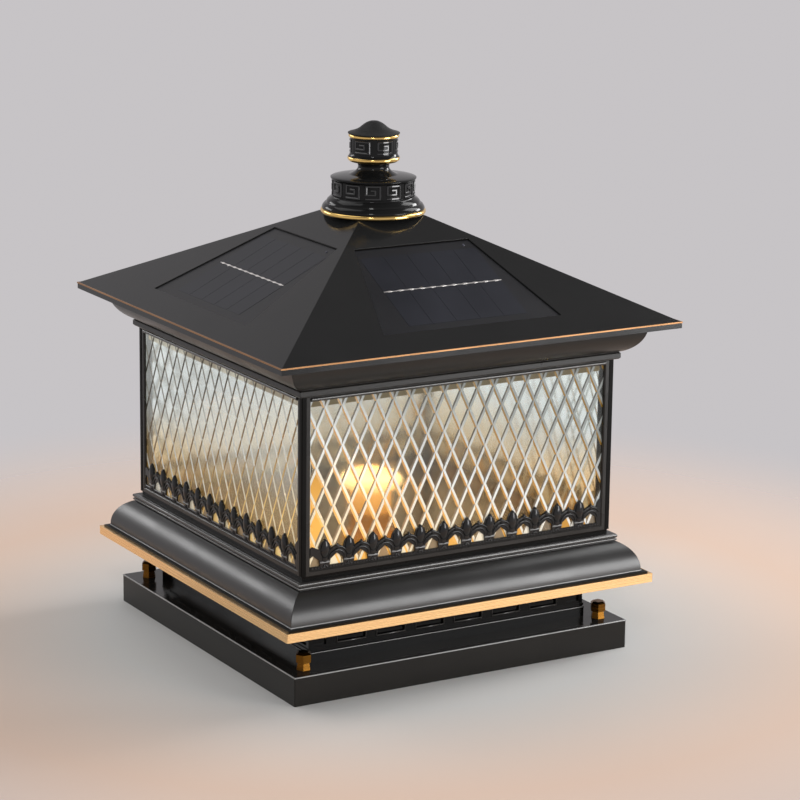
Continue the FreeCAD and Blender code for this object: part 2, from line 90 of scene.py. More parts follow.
def addRod(bm, middle, turnAxis, long, radius):
    # a capped rod, upright for Z and lying across for Y
    turn = Matrix.Rotation(math.radians(90.0 if turnAxis == "Y" else 0.0), 4, turnAxis)
    bmesh.ops.create_cone(bm, cap_ends=True, segments=rodSides, radius1=radius, radius2=radius, depth=long,
                          matrix=Matrix.Translation(middle) @ turn)


def turnedCopies(bm, opposite=None):
    # the front piece, and a copy turned to each other side, with a left-handed one for right and left
    for index, side in enumerate(sides):
        copy = (opposite if opposite and index % 2 else bm).copy()
        turn = Matrix.Rotation(math.radians(90.0 * index), 4, "Z")
        bmesh.ops.transform(copy, matrix=turn, verts=copy.verts[:])
        yield side, copy


def spinProfile(points, steps):
    # outline of (radius, height) points turned about the axis
    bm = bmesh.new()
    verts = [bm.verts.new((r, 0.0, z)) for r, z in points]
    edges = [bm.edges.new(pair) for pair in zip(verts, verts[1:])]
    bmesh.ops.spin(bm, geom=verts + edges, cent=(0, 0, 0), axis=(0, 0, 1), dvec=(0, 0, 0),
                   angle=math.tau, steps=steps, use_merge=True)
    bmesh.ops.remove_doubles(bm, verts=bm.verts[:], dist=weldGap)
    bmesh.ops.recalc_face_normals(bm, faces=bm.faces[:])
    return bm


# small helpers for shaders

fullRange = (0.0, 1.0)
noiseMiddle = (0.3, 0.7)  # noise sits around a half, so this stretch of it is widened
brushStretch = (0.02, 0.02, 6.0)  # long along the trim, fine across it


def setInput(tree, value, socket):
    # a plain number, or a link from another socket
    if isinstance(value, float):
        socket.default_value = value
    else:
        tree.links.new(value, socket)


def addNode(tree, kind, **settings):
    node = tree.nodes.new(kind)
    for label, value in settings.items():
        setattr(node, label, value)
    return node


def objectPlace(tree):
    return addNode(tree, "ShaderNodeTexCoord").outputs["Object"]


def splitVector(tree, vector):
    split = addNode(tree, "ShaderNodeSeparateXYZ")
    tree.links.new(vector, split.inputs["Vector"])
    return split.outputs


def noiseAt(tree, vector, detail, scale):
    noise = addNode(tree, "ShaderNodeTexNoise")
    noise.inputs["Detail"].default_value = detail
    setInput(tree, scale, noise.inputs["Scale"])
    tree.links.new(vector, noise.inputs["Vector"])
    return noise.outputs["Fac"]


def addMath(tree, operation, *values, clamp=False):
    node = addNode(tree, "ShaderNodeMath", operation=operation, use_clamp=clamp)
    for value, socket in zip(values, node.inputs):
        setInput(tree, value, socket)
    return node.outputs["Value"]


def mapRange(tree, source, ends, results=fullRange, shape="LINEAR"):
    # what runs between two ends is made to run between two results
    node = addNode(tree, "ShaderNodeMapRange", interpolation_type=shape)
    for label, value in zip(("From Min", "From Max", "To Min", "To Max"), (*ends, *results)):
        setInput(tree, value, node.inputs[label])
    tree.links.new(source, node.inputs["Value"])
    return node.outputs["Result"]


def colourRamp(tree, factor, stops):
    ramp = addNode(tree, "ShaderNodeValToRGB")
    elements = ramp.color_ramp.elements
    for end in (0, -1):
        elements[end].position, elements[end].color = stops[end]
    for position, colour in stops[1:-1]:
        elements.new(position).color = colour
    tree.links.new(factor, ramp.inputs["Fac"])
    return ramp.outputs["Color"]


def heightRamp(tree, place, ends, stops, lean=0.0):
    # colour by height, counted lower toward two opposite corners by the lean
    split = splitVector(tree, place)
    level = split["Z"]
    if lean > 0.0:
        across = addMath(tree, "ADD", split["X"], split["Y"])
        level = addMath(tree, "MULTIPLY_ADD", addMath(tree, "ABSOLUTE", across), -lean, level)
    return colourRamp(tree, mapRange(tree, level, ends), stops)


def roughBy(tree, shader, source, rough):
    tree.links.new(mapRange(tree, source, fullRange, rough), shader.inputs["Roughness"])


def addBump(tree, shader, height, strength, depth):
    bump = addNode(tree, "ShaderNodeBump")
    bump.inputs["Strength"].default_value = strength
    bump.inputs["Distance"].default_value = depth
    tree.links.new(height, bump.inputs["Height"])
    tree.links.new(bump.outputs["Normal"], shader.inputs["Normal"])


def startMaterial(name, sockets):
    material = bpy.data.materials.new(name)
    material.use_nodes = True
    shader = material.node_tree.nodes["Principled BSDF"]
    for label, value in sockets.items():
        shader.inputs[label].default_value = value
    return material, material.node_tree, shader


# two shader groups that the coats and trims share

groupOutputs = {"Color": "NodeSocketColor", "Roughness": "NodeSocketFloat", "Height": "NodeSocketFloat"}


def startGroup(name, inputs):
    group = bpy.data.node_groups.new(name, "ShaderNodeTree")
    for label, value in inputs.items():
        kind = "NodeSocketColor" if isinstance(value, tuple) else "NodeSocketFloat"
        group.interface.new_socket(label, in_out="INPUT", socket_type=kind).default_value = value
    for label, kind in groupOutputs.items():
        group.interface.new_socket(label, in_out="OUTPUT", socket_type=kind)
    return group, group.nodes.new("NodeGroupInput").outputs, group.nodes.new("NodeGroupOutput").inputs


def fillGroup(group, into, out, colours, cloud, rough, height):
    # two colours blended by the cloud, and the noises that set roughness and height
    blend = addNode(group, "ShaderNodeMix", data_type="RGBA")
    group.links.new(cloud, blend.inputs[0])
    for label, number in zip(colours, (6, 7)):  # the node's two colour sockets
        group.links.new(into[label], blend.inputs[number])
    group.links.new(blend.outputs[2], out["Color"])
    spread = mapRange(group, rough, noiseMiddle, (into["Rough Low"], into["Rough High"]))
    group.links.new(spread, out["Roughness"])
    group.links.new(height, out["Height"])
    return group


def makeCoatGroup():
    group, into, out = startGroup("powderCoat", {
        "Deep": (0.01, 0.01, 0.01, 1), "Worn": (0.03, 0.03, 0.03, 1), "Rough Low": 0.25, "Rough High": 0.4,
        "Grain": 1400.0, "Cloud": 22.0})
    place = objectPlace(group)
    cloud = noiseAt(group, place, detail=4.0, scale=into["Cloud"])
    grain = noiseAt(group, place, detail=2.0, scale=into["Grain"])
    return fillGroup(group, into, out, ("Deep", "Worn"), cloud, cloud, grain)


def makeBrushGroup():
    # level lines for trim that runs round the lantern
    group, into, out = startGroup("brushedTrim", {
        "Bright": (0.8, 0.6, 0.3, 1), "Dull": (0.5, 0.35, 0.15, 1), "Rough Low": 0.15, "Rough High": 0.35,
        "Lines": 300.0, "Cloud": 30.0})
    place = objectPlace(group)
    stretch = addNode(group, "ShaderNodeMapping")
    stretch.inputs["Scale"].default_value = brushStretch
    group.links.new(place, stretch.inputs["Vector"])
    lines = noiseAt(group, stretch.outputs["Vector"], detail=3.0, scale=into["Lines"])
    cloud = noiseAt(group, place, detail=3.0, scale=into["Cloud"])
    return fillGroup(group, into, out, ("Dull", "Bright"), cloud, lines, lines)


coatGroup = makeCoatGroup()
brushGroup = makeBrushGroup()


def grey(value, warmth=0.0):
    return (value * (1.0 + warmth), value, value * (1.0 - warmth), 1.0)


# tones are deep and worn in a coat, bright and dull in a trim
usualCoat = {"shine": 0.5, "ior": 1.42, "grain": 1400.0, "bump": 0.04}
coats = {
    "blackCoat": {"tones": (grey(0.011, 0.09), grey(0.017, 0.11)), "rough": (0.26, 0.36), "bump": 0.1},
    "roofCoat": {"tones": (grey(0.012), grey(0.016)), "rough": (0.12, 0.18), "bump": 0.05},
    "bezelCoat": {"tones": (grey(0.014, 0.09), grey(0.022, 0.1)), "rough": (0.22, 0.32), "bump": 0.1,
                  "shine": 0.4},
    "postCoat": {"tones": (grey(0.004, 0.1), grey(0.007, 0.1)), "rough": (0.3, 0.4), "shine": 0.08},
    "castGloss": {"tones": (grey(0.006), grey(0.012)), "rough": (0.07, 0.14), "shine": 0.24},
    "keyGloss": {"tones": (grey(0.006), grey(0.012)), "rough": (0.06, 0.12), "shine": 1.0},
    "capSatin": {"tones": (grey(0.022), grey(0.034)), "rough": (0.34, 0.44), "shine": 0.08},
    "ovoloCoat": {"tones": (grey(0.006, 0.06), grey(0.009, 0.08)), "rough": (0.3, 0.38), "shine": 0.95},
    "riserGloss": {"tones": (grey(0.003), grey(0.005)), "rough": (0.1, 0.18), "shine": 0.2},
    "baseGloss": {"tones": (grey(0.014, 0.09), grey(0.019, 0.1)), "rough": (0.08, 0.14), "shine": 0.24},
    # painted highlight: pale grey for thin lines along edges
    "edgeLine": {"tones": (grey(0.2), grey(0.34)), "rough": (0.2, 0.3), "shine": 0.9},
    "crestGloss": {"tones": (grey(0.006), grey(0.014)), "rough": (0.1, 0.2), "shine": 0.55},
    # partly painted sheen: a lighter black for reeds and outlines that show bright lines
    "reedCoatPaintedSheen": {"tones": (grey(0.03, 0.05), grey(0.05, 0.05)), "rough": (0.16, 0.26), "shine": 1.0},
    "boxMould": {"tones": (grey(0.02), grey(0.03)), "rough": (0.45, 0.6), "bump": 0.5, "grain": 900.0},
    "wrapFilm": {"tones": ((0.012, 0.035, 0.11, 1), (0.02, 0.06, 0.17, 1)), "rough": (0.2, 0.3)},
    "boardMask": {"tones": ((0.008, 0.05, 0.02, 1), (0.012, 0.08, 0.03, 1)), "rough": (0.3, 0.4)},
    "buttonRed": {"tones": ((0.3, 0.01, 0.008, 1), (0.38, 0.02, 0.012, 1)), "rough": (0.25, 0.35)},
}
usualTrim = {"bump": 0.02}
trims = {
    "goldBand": {"tones": ((0.98, 0.66, 0.33, 1), (0.97, 0.64, 0.31, 1)), "rough": (0.25, 0.3),
                 "bump": 0.0},
    "goldRing": {"tones": ((0.95, 0.66, 0.24, 1), (0.85, 0.54, 0.16, 1)), "rough": (0.1, 0.2)},
    "copperLine": {"tones": ((0.55, 0.29, 0.13, 1), (0.2, 0.1, 0.045, 1)), "rough": (0.3, 0.42)},
    "brassNut": {"tones": ((0.25, 0.115, 0.018, 1), (0.055, 0.02, 0.0035, 1)), "rough": (0.16, 0.34)},
    "zincSteel": {"tones": ((0.6, 0.6, 0.6, 1), (0.42, 0.42, 0.43, 1)), "rough": (0.25, 0.4)},
    "tinRibbon": {"tones": ((0.86, 0.83, 0.8, 1), (0.6, 0.57, 0.55, 1)), "rough": (0.3, 0.5)},
}
grainDepth = 0.05 * mm
finishes = {}


def groupMaterial(name, group, look, sockets):
    # the first inputs of both groups are two colours and two roughnesses
    material, tree, shader = startMaterial(name, sockets)
    effect = addNode(tree, "ShaderNodeGroup", node_tree=group)
    for socket, value in zip(effect.inputs, (*look["tones"], *look["rough"])):
        socket.default_value = value
    if "grain" in look:
        effect.inputs["Grain"].default_value = look["grain"]
    tree.links.new(effect.outputs["Color"], shader.inputs["Base Color"])
    tree.links.new(effect.outputs["Roughness"], shader.inputs["Roughness"])
    addBump(tree, shader, effect.outputs["Height"], look["bump"], grainDepth)
    finishes[name] = material


for name, row in coats.items():
    look = {**usualCoat, **row}
    groupMaterial(name, coatGroup, look, {"IOR": look["ior"], "Specular IOR Level": look["shine"]})
for name, row in trims.items():
    look = {**usualTrim, **row}
    groupMaterial(name, brushGroup, look, {"Metallic": 1.0})
print("coats and trims ready:", len(finishes))

bulbLow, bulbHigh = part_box("bulb")
paneLow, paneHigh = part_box("glass_pane_front")
socketLow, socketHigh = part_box("lamp_socket")
paneEnds = (paneLow.z, paneHigh.z)

# pressed glass with a slight ripple, warmer toward its foot, where the warmth is painted lamplight

glassLook = {"ior": 1.36, "rippleScale": 70.0, "rippleDepth": 0.5 * mm, "rippleStrength": 0.14,
             "hazeScale": 90.0, "rough": (0.08, 0.18),
             "tintAndLamplight": [(0.05, (0.88, 0.74, 0.46, 1)), (0.3, (0.93, 0.87, 0.7, 1)),
                      (0.55, (0.92, 0.97, 0.97, 1)), (1.0, (0.95, 1.0, 0.98, 1))],
             "paintedGlow": [(0.0, (0.45, 0.22, 0.03, 1)), (0.3, (0.5, 0.34, 0.12, 1)),
                      (0.55, (0.92, 0.95, 0.9, 1)), (1.0, (0.97, 1.0, 0.97, 1))]}
# painted light: the glass glows lamp-warm at its foot and pale above, more on the side panes
glassPaintedLight = {"pressedGlass": 0.02, "sideGlassPaintedLight": 0.11}  # stands for lamplight caught in the pressed surface


def makeGlass(name):
    material, tree, shader = startMaterial(name, {
        "Transmission Weight": 1.0, "IOR": glassLook["ior"], "Emission Strength": glassPaintedLight[name]})
    place = objectPlace(tree)
    for stops, socket in ((glassLook["tintAndLamplight"], "Base Color"), (glassLook["paintedGlow"], "Emission Color")):
        tree.links.new(heightRamp(tree, place, paneEnds, stops), shader.inputs[socket])
    haze = noiseAt(tree, place, detail=2.0, scale=glassLook["hazeScale"])
    roughBy(tree, shader, haze, glassLook["rough"])
    ripple = noiseAt(tree, place, detail=1.0, scale=glassLook["rippleScale"])
    addBump(tree, shader, ripple, glassLook["rippleStrength"], glassLook["rippleDepth"])
    return material


# walls of the pressed lines, each with its colours at the foot of the pane, halfway and at the top; the
# colours and glow are painted lamplight, painted reflection and painted shade

ridgeLook = {"ior": 1.46, "ends": (0.0, 0.2), "stops": (0.2, 0.46, 0.72), "lean": 0.35, "cloudScale": 60.0,
             "rough": (0.15, 0.35)}
ridges = {
    "paleRidgePaintedLight": {"clear": 0.3, "paintedGlow": 0.22,
                  "colours": [(1.0, 0.86, 0.6, 1), (0.86, 0.9, 0.9, 1), (0.27, 0.29, 0.28, 1)]},
    "goldRidgePaintedLamp": {"clear": 0.05, "paintedGlow": 0.14,
                  "colours": [(0.92, 0.46, 0.08, 1), (0.42, 0.2, 0.02, 1), (0.2, 0.11, 0.012, 1)]},
    "sideRidgePaintedLight": {"clear": 0.4, "paintedGlow": 0.12,
                  "colours": [(1.0, 0.88, 0.62, 1), (0.82, 0.84, 0.8, 1), (0.27, 0.26, 0.22, 1)]},
    "sideRidgePaintedLamp": {"clear": 0.25, "paintedGlow": 0.25,
                  "colours": [(1.0, 0.7, 0.28, 1), (0.25, 0.15, 0.055, 1), (0.06, 0.05, 0.035, 1)]},
    "ridgePaintedShade": {"clear": 0.5, "paintedGlow": 0.0,
                   "colours": [(0.5, 0.36, 0.2, 1), (0.25, 0.22, 0.17, 1), (0.1, 0.1, 0.09, 1)]},
}


def makeRidge(name, look):
    material, tree, shader = startMaterial(name, {
        "Transmission Weight": look["clear"], "IOR": ridgeLook["ior"], "Emission Strength": look["paintedGlow"]})
    place = objectPlace(tree)
    stops = list(zip(ridgeLook["stops"], look["colours"]))
    colour = heightRamp(tree, place, ridgeLook["ends"], stops, ridgeLook["lean"])
    tree.links.new(colour, shader.inputs["Base Color"])
    tree.links.new(colour, shader.inputs["Emission Color"])
    cloud = noiseAt(tree, place, detail=2.0, scale=ridgeLook["cloudScale"])
    roughBy(tree, shader, cloud, ridgeLook["rough"])
    return material


# solar panel covers, cells and sensor dots, each between a deep and a light colour

solarLook = {"ior": 1.37, "coat": 0.1, "coatRough": 0.06, "cloudScale": 18.0, "stops": (0.35, 0.65),
             "rough": (0.3, 0.42)}
solarColours = {"solarCover": [(0.008, 0.008, 0.01, 1), (0.011, 0.011, 0.013, 1)],
                "cellSilicon": [(0.008, 0.009, 0.014, 1), (0.013, 0.014, 0.021, 1)],
                "sensorLens": [(0.05, 0.05, 0.07, 1), (0.09, 0.09, 0.12, 1)]}


def makeSolar(name):
    material, tree, shader = startMaterial(name, {
        "IOR": solarLook["ior"], "Coat Weight": solarLook["coat"], "Coat Roughness": solarLook["coatRough"]})
    cloud = noiseAt(tree, objectPlace(tree), detail=3.0, scale=solarLook["cloudScale"])
    stops = list(zip(solarLook["stops"], solarColours[name]))
    tree.links.new(colourRamp(tree, cloud, stops), shader.inputs["Base Color"])
    roughBy(tree, shader, cloud, solarLook["rough"])
    return material


# glowing plastic, coloured by height: the lamp itself, and painted lamplight on the pane holders and the
# stem, which are no lamps

glowRough = 0.4
glows = {
    "lampGlow": {"ends": (bulbLow.z, bulbHigh.z), "strength": 1.2,
                 "stops": [(0.0, (0.8, 0.36, 0.07, 1)), (0.25, (1.0, 0.7, 0.27, 1)),
                           (0.6, (1.0, 0.75, 0.34, 1)), (1.0, (0.6, 0.28, 0.05, 1))]},
    # painted light: the strip behind the glass glows in place of the light that reaches it through the panes
    "holderStripPaintedLight": {"ends": paneEnds, "strength": 0.25,
                    "stops": [(0.0, (0.26, 0.19, 0.08, 1)), (1.0, (0.3, 0.22, 0.1, 1))]},
    # painted lamplight: the stem glows brighter toward the bulb
    "amberStemPaintedLight": {"ends": (socketLow.z, socketHigh.z), "strength": 0.75,
                  "stops": [(0.0, (0.8, 0.36, 0.08, 1)), (1.0, (0.95, 0.48, 0.12, 1))]},
}


def makeGlow(name, look):
    material, tree, shader = startMaterial(name, {
        "Roughness": glowRough, "Emission Strength": look["strength"]})
    colour = heightRamp(tree, objectPlace(tree), look["ends"], look["stops"])
    tree.links.new(colour, shader.inputs["Base Color"])
    tree.links.new(colour, shader.inputs["Emission Color"])
    return material


# floor of the cabin, bright bronze inside the panes as painted lamplight, and black where its edge shows
# outside

cabinFloor = {"inside": 110.0 * mm, "outside": 114.0 * mm, "paintedLampBronze": (0.21, 0.135, 0.062, 1),
              "black": grey(0.006, 0.1), "ior": 1.42, "shine": 0.1, "cloudScale": 30.0, "rough": (0.08, 0.18)}


def makeCabinFloor():
    material, tree, shader = startMaterial("cabinFloor", {
        "IOR": cabinFloor["ior"], "Specular IOR Level": cabinFloor["shine"]})
    place = objectPlace(tree)
    size = addNode(tree, "ShaderNodeVectorMath", operation="ABSOLUTE")
    tree.links.new(place, size.inputs[0])
    split = splitVector(tree, size.outputs["Vector"])
    far = addMath(tree, "MAXIMUM", split["X"], split["Y"])
    outside = mapRange(tree, far, (cabinFloor["inside"], cabinFloor["outside"]))
    # painted lamplight: bronze metal inside the panes, black plate outside
    colour = colourRamp(tree, outside, [(0.0, cabinFloor["paintedLampBronze"]), (1.0, cabinFloor["black"])])
    tree.links.new(colour, shader.inputs["Base Color"])
    tree.links.new(addMath(tree, "SUBTRACT", 1.0, outside), shader.inputs["Metallic"])
    cloud = noiseAt(tree, place, detail=3.0, scale=cabinFloor["cloudScale"])
    roughBy(tree, shader, cloud, cabinFloor["rough"])
    return material


finishes["cabinFloor"] = makeCabinFloor()
for name in glassPaintedLight:
    finishes[name] = makeGlass(name)
for name, look in ridges.items():
    finishes[name] = makeRidge(name, look)
for name in solarColours:
    finishes[name] = makeSolar(name)
for name, look in glows.items():
    finishes[name] = makeGlow(name, look)

nodeFinishes = {
    "base_plate": "baseGloss", "riser": "riserGloss", "skirt_plate": "postCoat",
    "skirt_moulding": "ovoloCoat", "floor_plate": "cabinFloor", "corner_post": "postCoat",
    "cornice": "blackCoat", "ceiling_plate": "blackCoat", "pane_frame": "bezelCoat", "roof_shell": "roofCoat",
    "finial": "castGloss", "finial_base_ring": "goldRing", "skirt_band": "goldBand",
    "eave_trim": "copperLine", "anchor_cap_nuts": "brassNut", "stud_nut": "zincSteel",
    "glass_pane": "pressedGlass", "cresting": "crestGloss", "solar_panel": "solarCover", "bulb": "lampGlow",
    "lamp_socket": "amberStemPaintedLight", "battery_box": "boxMould", "switch_body": "boxMould",
    "battery_pack": "wrapFilm", "controller_board": "boardMask", "power_button": "buttonRed",
}
for name, node in nodes.items():
    kinds = [kind for kind in nodeFinishes if name == kind or name.startswith(kind + "_")]
    node.data.materials.clear()
    node.data.materials.append(finishes[nodeFinishes[max(kinds, key=len)]])
print("finishes on", len(nodes), "nodes")


# diamond lattice panes, cut by two families of leaning lines

pane = {"pitch": 12.6 * mm, "tall": 26.1 * mm, "belowTop": 8.2 * mm, "wideHalf": 1.5 * mm,
        "narrowHalf": 0.9 * mm, "grooveDepth": 0.3 * mm, "smallestArea": 12e-6, "footCells": 7.0 * mm,
        "endCells": 5.0 * mm, "endHigh": 66.0 * mm, "cutGap": 1e-7}
wideWalls = ["paleRidgePaintedLight", "goldRidgePaintedLamp", "ridgePaintedShade"]
deepWalls = ["sideRidgePaintedLight", "sideRidgePaintedLamp", "ridgePaintedShade"]
paneWalls = {"front": wideWalls, "right": wideWalls, "rear": wideWalls, "left": deepWalls}
paneGlass = {"front": "pressedGlass", "right": "sideGlassPaintedLight", "rear": "pressedGlass", "left": "sideGlassPaintedLight"}
paintedLightWall, paintedLampWall, paintedShadeWall = 1, 2, 3  # places of the walls' finishes, after the glass


def makePane(hand):
    # flat cells stand proud, and the sloping walls of the grooves between them carry the painted light,
    # chosen by which way each wall faces
    low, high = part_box("glass_pane_front")
    groove = low.y + pane["grooveDepth"]
    bm = bmesh.new()
    corners = [(low.x, low.z), (high.x, low.z), (high.x, high.z), (low.x, high.z)]
    bm.faces.new([bm.verts.new((x, groove, z)) for x, z in corners])
    crossing = Vector((0.0, groove, high.z - pane["belowTop"]))
    reach = int((high.x - low.x + high.z - low.z) / pane["pitch"])
    for lean in (1.0, -1.0):
        across = Vector((pane["tall"], 0.0, -lean * pane["pitch"])).normalized()
        for index in range(-reach, reach + 1):
            along = crossing + Vector((index * pane["pitch"], 0.0, 0.0))
            bmesh.ops.bisect_plane(bm, geom=bm.verts[:] + bm.edges[:] + bm.faces[:], dist=pane["cutGap"],
                                   plane_co=along, plane_no=across)
    rim = [edge for edge in bm.edges if edge.is_boundary]
    cellFaces = [face for face in bm.faces if face.calc_area() > pane["smallestArea"]]
    rimWalls = bmesh.ops.extrude_edge_only(bm, edges=rim)["geom"]
    backVerts = [item for item in rimWalls if isinstance(item, bmesh.types.BMVert)]
    bmesh.ops.translate(bm, vec=(0.0, high.y - groove, 0.0), verts=backVerts)
    bmesh.ops.edgeloop_fill(bm, edges=[edge for edge in bm.edges if edge.is_boundary])
    grooveHalf = pane["wideHalf"] if hand > 0.0 else pane["narrowHalf"]
    walls = bmesh.ops.inset_individual(bm, faces=cellFaces, thickness=grooveHalf, depth=pane["grooveDepth"],
                                       use_even_offset=True)["faces"]
    bmesh.ops.recalc_face_normals(bm, faces=bm.faces[:])
    for face in walls:
        rising = face.normal.z * hand > 0.0
        face.material_index = paintedLampWall if rising and face.normal.x > 0.0 else paintedLightWall
        if not rising and face.normal.x * hand > 0.0:
            face.material_index = paintedShadeWall
    # cells low on the pane take the walls' painted light in turn, and low cells at one end of the front and
    # rear panes take the painted lamplight
    for face in cellFaces:
        middle = face.calc_center_median()
        if middle.z < low.z + pane["footCells"]:
            face.material_index = paintedLightWall + int(abs(middle.x) / pane["pitch"] * 2.0) % len(wideWalls)
        elif hand > 0.0 and middle.x < low.x + pane["endCells"] and middle.z < low.z + pane["endHigh"]:
            face.material_index = paintedLampWall
    return bm


for side, bm in turnedCopies(makePane(1.0), makePane(-1.0)):
    piece = keepPiece(bm, "latticePane_" + side, finishes[paneGlass[side]])
    for wall in paneWalls[side]:
        piece.data.materials.append(finishes[wall])
    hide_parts("glass_pane_" + side)
print("lattice panes:", len(piece.data.polygons), "faces each")


# rounded lamp globe on its stem, and strips that hold the top of each pane

bulb = {"foot": 15.0 * mm, "globe": 21.5 * mm, "tall": 12.6 * mm, "widest": 0.46,
        "lowSteps": 6, "highSteps": 12, "turnSteps": 48}


def makeBulb():
    # quarter ovals below and above the widest level
    top = bulbLow.z + bulb["tall"]
    middle = bulbLow.z + bulb["tall"] * bulb["widest"]
    outline = [(0.0, bulbLow.z)]
    for step in range(bulb["lowSteps"]):
        angle = math.radians(90.0 * step / bulb["lowSteps"])
        outline.append((bulb["foot"] + (bulb["globe"] - bulb["foot"]) * math.sin(angle),
                        middle - (middle - bulbLow.z) * math.cos(angle)))
    for step in range(bulb["highSteps"]):
        angle = math.radians(90.0 * step / bulb["highSteps"])
        outline.append((bulb["globe"] * math.cos(angle), middle + (top - middle) * math.sin(angle)))
    return spinProfile(outline + [(0.0, top)], bulb["turnSteps"])


piece = keepPiece(makeBulb(), "lampGlobe", finishes["lampGlow"], True)
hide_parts("bulb")

holder = {"tall": 7.4 * mm, "thick": 1.2 * mm, "shortBy": 3.0 * mm}


def makeHolder():
    low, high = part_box("glass_pane_front")
    bm = bmesh.new()
    addBox(bm, Matrix.Translation((0.0, high.y + holder["thick"] / 2.0, high.z - holder["tall"] / 2.0)),
           (high.x - low.x - 2.0 * holder["shortBy"], holder["thick"], holder["tall"]))
    return bm


for side, bm in turnedCopies(makeHolder()):
    keepPiece(bm, "paneHolder_" + side, finishes["holderStripPaintedLight"])
print("lamp globe and pane holders in place")


# rounded reeds under the panes and along the top bar of each frame, and pale edge lines that are painted
# highlights

reeds = {"barHalf": 111.6 * mm, "barOut": 117.9 * mm, "barLevel": 198.3 * mm, "barRadius": 1.25 * mm,
         "ringSteps": 12, "sharpDeg": 50.0}
squareRings = [  # half width, level and radius in mm
    {"name": "sillReed_0", "half": 121.1, "level": 78.25, "radius": 1.4, "finish": "reedCoatPaintedSheen"},
    {"name": "sillReed_1", "half": 121.3, "level": 75.85, "radius": 0.95, "finish": "reedCoatPaintedSheen"},
    # pale rings painted as highlights along the base's top edge and the ovolo's foot
    {"name": "baseEdge", "half": 127.55, "level": 19.05, "radius": 0.5, "finish": "edgeLine"},
    {"name": "ovoloFoot", "half": 134.1, "level": 55.4, "radius": 0.5, "finish": "edgeLine"},
    {"name": "riserLine", "half": 106.75, "level": 26.0, "radius": 0.6, "finish": "reedCoatPaintedSheen"},
]


def squareRing(half, level, radius):
    # a round section carried round a square by four spin steps, drawn wider where it is cut at the corner
    section = []
    for step in range(reeds["ringSteps"] + 1):
        angle = math.tau * step / reeds["ringSteps"]
        section.append(((half + radius * math.cos(angle)) * math.sqrt(2.0), level + radius * math.sin(angle)))
    bm = spinProfile(section, 4)
    turn = Matrix.Rotation(math.radians(45.0), 3, "Z")
    bmesh.ops.rotate(bm, cent=(0, 0, 0), matrix=turn, verts=bm.verts[:])
    return bm


def makeBarReed():
    bm = bmesh.new()
    addRod(bm, (0.0, -reeds["barOut"], reeds["barLevel"]), "Y", 2.0 * reeds["barHalf"], reeds["barRadius"])
    return bm


for ring in squareRings:
    bm = squareRing(ring["half"] * mm, ring["level"] * mm, ring["radius"] * mm)
    piece = keepPiece(bm, ring["name"], finishes[ring["finish"]], True)
    softShade(piece, reeds["sharpDeg"])
for side, bm in turnedCopies(makeBarReed()):
    piece = keepPiece(bm, "barReed_" + side, finishes["reedCoatPaintedSheen"], True)
    softShade(piece, reeds["sharpDeg"])
print("reeds and worn edges in place")


# raised tablets in the sunk panels of the riser, each panel with a fine rounded outline

tablet = {"face": -106.2 * mm, "pitch": 29.7 * mm, "post": 8.0 * mm, "line": 3.6 * mm, "low": 30.7 * mm,
          "high": 46.0 * mm, "sunk": 1.4 * mm, "proud": 0.2 * mm, "outline": 0.55 * mm, "edge": 0.5 * mm,
          "places": range(-3, 3)}
tabletMiddles = [(index + 0.5) * tablet["pitch"] for index in tablet["places"]]
tabletLevel = (tablet["low"] + tablet["high"]) / 2.0


def makeTablets():
    bm = bmesh.new()
    wide = tablet["pitch"] - tablet["post"] - 2.0 * tablet["line"]
    tall = tablet["high"] - tablet["low"] - 2.0 * tablet["line"]
    thick = tablet["sunk"] + tablet["proud"]
    for middle in tabletMiddles:
        place = Matrix.Translation((middle, tablet["face"] + tablet["sunk"] - thick / 2.0, tabletLevel))
        addBox(bm, place, (wide, thick, tall), tablet["edge"])
    return bm


def makeOutlines():
    bm = bmesh.new()
    half = (tablet["pitch"] - tablet["post"]) / 2.0
    for middle in tabletMiddles:
        for level in (tablet["low"], tablet["high"]):
            addRod(bm, (middle, tablet["face"], level), "Y", 2.0 * half, tablet["outline"])
        for across in (middle - half, middle + half):
            addRod(bm, (across, tablet["face"], tabletLevel), "Z", tablet["high"] - tablet["low"],
                   tablet["outline"])
    return bm


for side, bm in turnedCopies(makeTablets()):
    keepPiece(bm, "riserTablets_" + side, finishes["riserGloss"])
for side, bm in turnedCopies(makeOutlines()):
    keepPiece(bm, "riserOutlines_" + side, finishes["reedCoatPaintedSheen"], True)
print("riser tablets in place")


# solar cells, ribbon, painted shadow line and light sensor, laid on the front slope and turned to the other
# sides

slope = {"eaveHalf": 150.0 * mm, "eaveHigh": 228.4 * mm, "flatHalf": 25.0 * mm, "flatHigh": 290.2 * mm,
         "sunk": 0.8 * mm}
cells = {"half": 44.5 * mm, "columns": 5, "gap": 0.28 * mm, "nearAxis": 60.0 * mm, "farAxis": 125.0 * mm,
         "ribbonAt": 92.5 * mm, "thick": 0.1 * mm}
ribbon = {"wide": 0.7 * mm, "thick": 0.25 * mm, "joints": 11,
          "lump": (4.6 * mm, 1.7 * mm, 0.55 * mm)}  # length, width and height of a solder lump
shadowLine = {"half": 43.3 * mm, "fromAxis": 51.85 * mm, "deep": 0.7 * mm, "thick": 0.75 * mm}
sensor = {"across": 37.0 * mm, "fromAxis": 56.5 * mm, "radius": 0.9 * mm, "thick": 0.5 * mm, "taper": 0.7,
          "sides": 20}
slopeAngle = math.atan2(slope["flatHigh"] - slope["eaveHigh"], slope["eaveHalf"] - slope["flatHalf"])
upSlope = Vector((0.0, math.cos(slopeAngle), math.sin(slopeAngle)))
offSlope = Vector((0.0, -math.sin(slopeAngle), math.cos(slopeAngle)))


